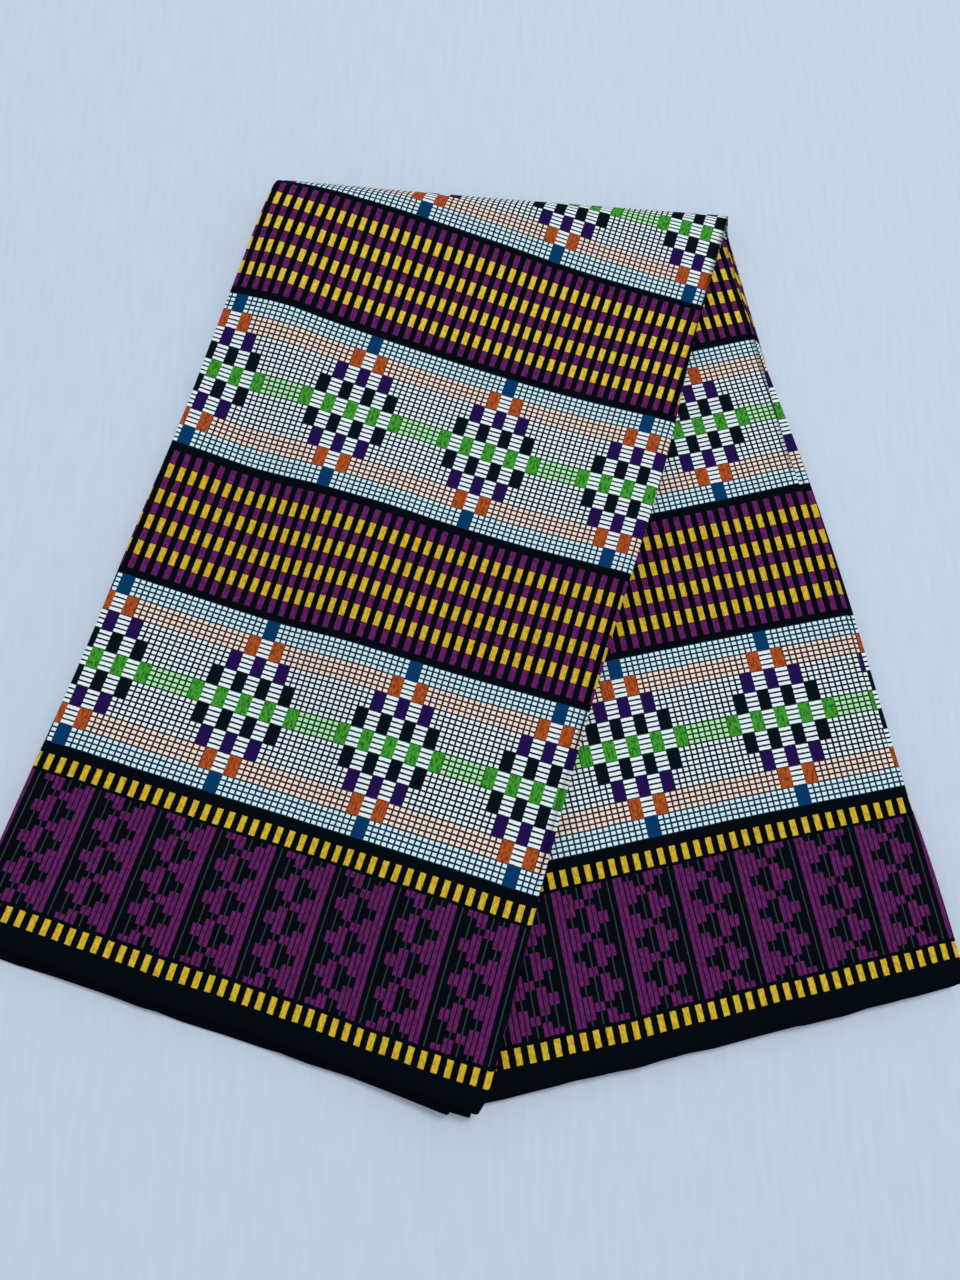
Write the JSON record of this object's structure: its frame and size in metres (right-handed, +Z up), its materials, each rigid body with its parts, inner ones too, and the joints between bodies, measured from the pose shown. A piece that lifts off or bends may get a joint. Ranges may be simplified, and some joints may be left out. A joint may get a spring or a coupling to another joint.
{
  "type": "folded akwete cloth",
  "caption": "Printed cotton cloth, folded back and forth into a strip and folded once across so that its two legs fan apart.",
  "frame": {"origin": "on the surface that the cloth lies on, at the middle of its box", "axes": "+X to the right, +Y from the two selvedge ends towards the cross fold, +Z up from the surface"},
  "size_m": [0.5938, 0.6098, 0.0238],
  "materials": {
    "printed_cotton": "matt printed cotton, with bands of purple and yellow bars, stepped diamonds on a white grid and a black border"
  },
  "bodies": {
    "root": {"cloth": "printed_cotton"}
  },
  "joints": []
}
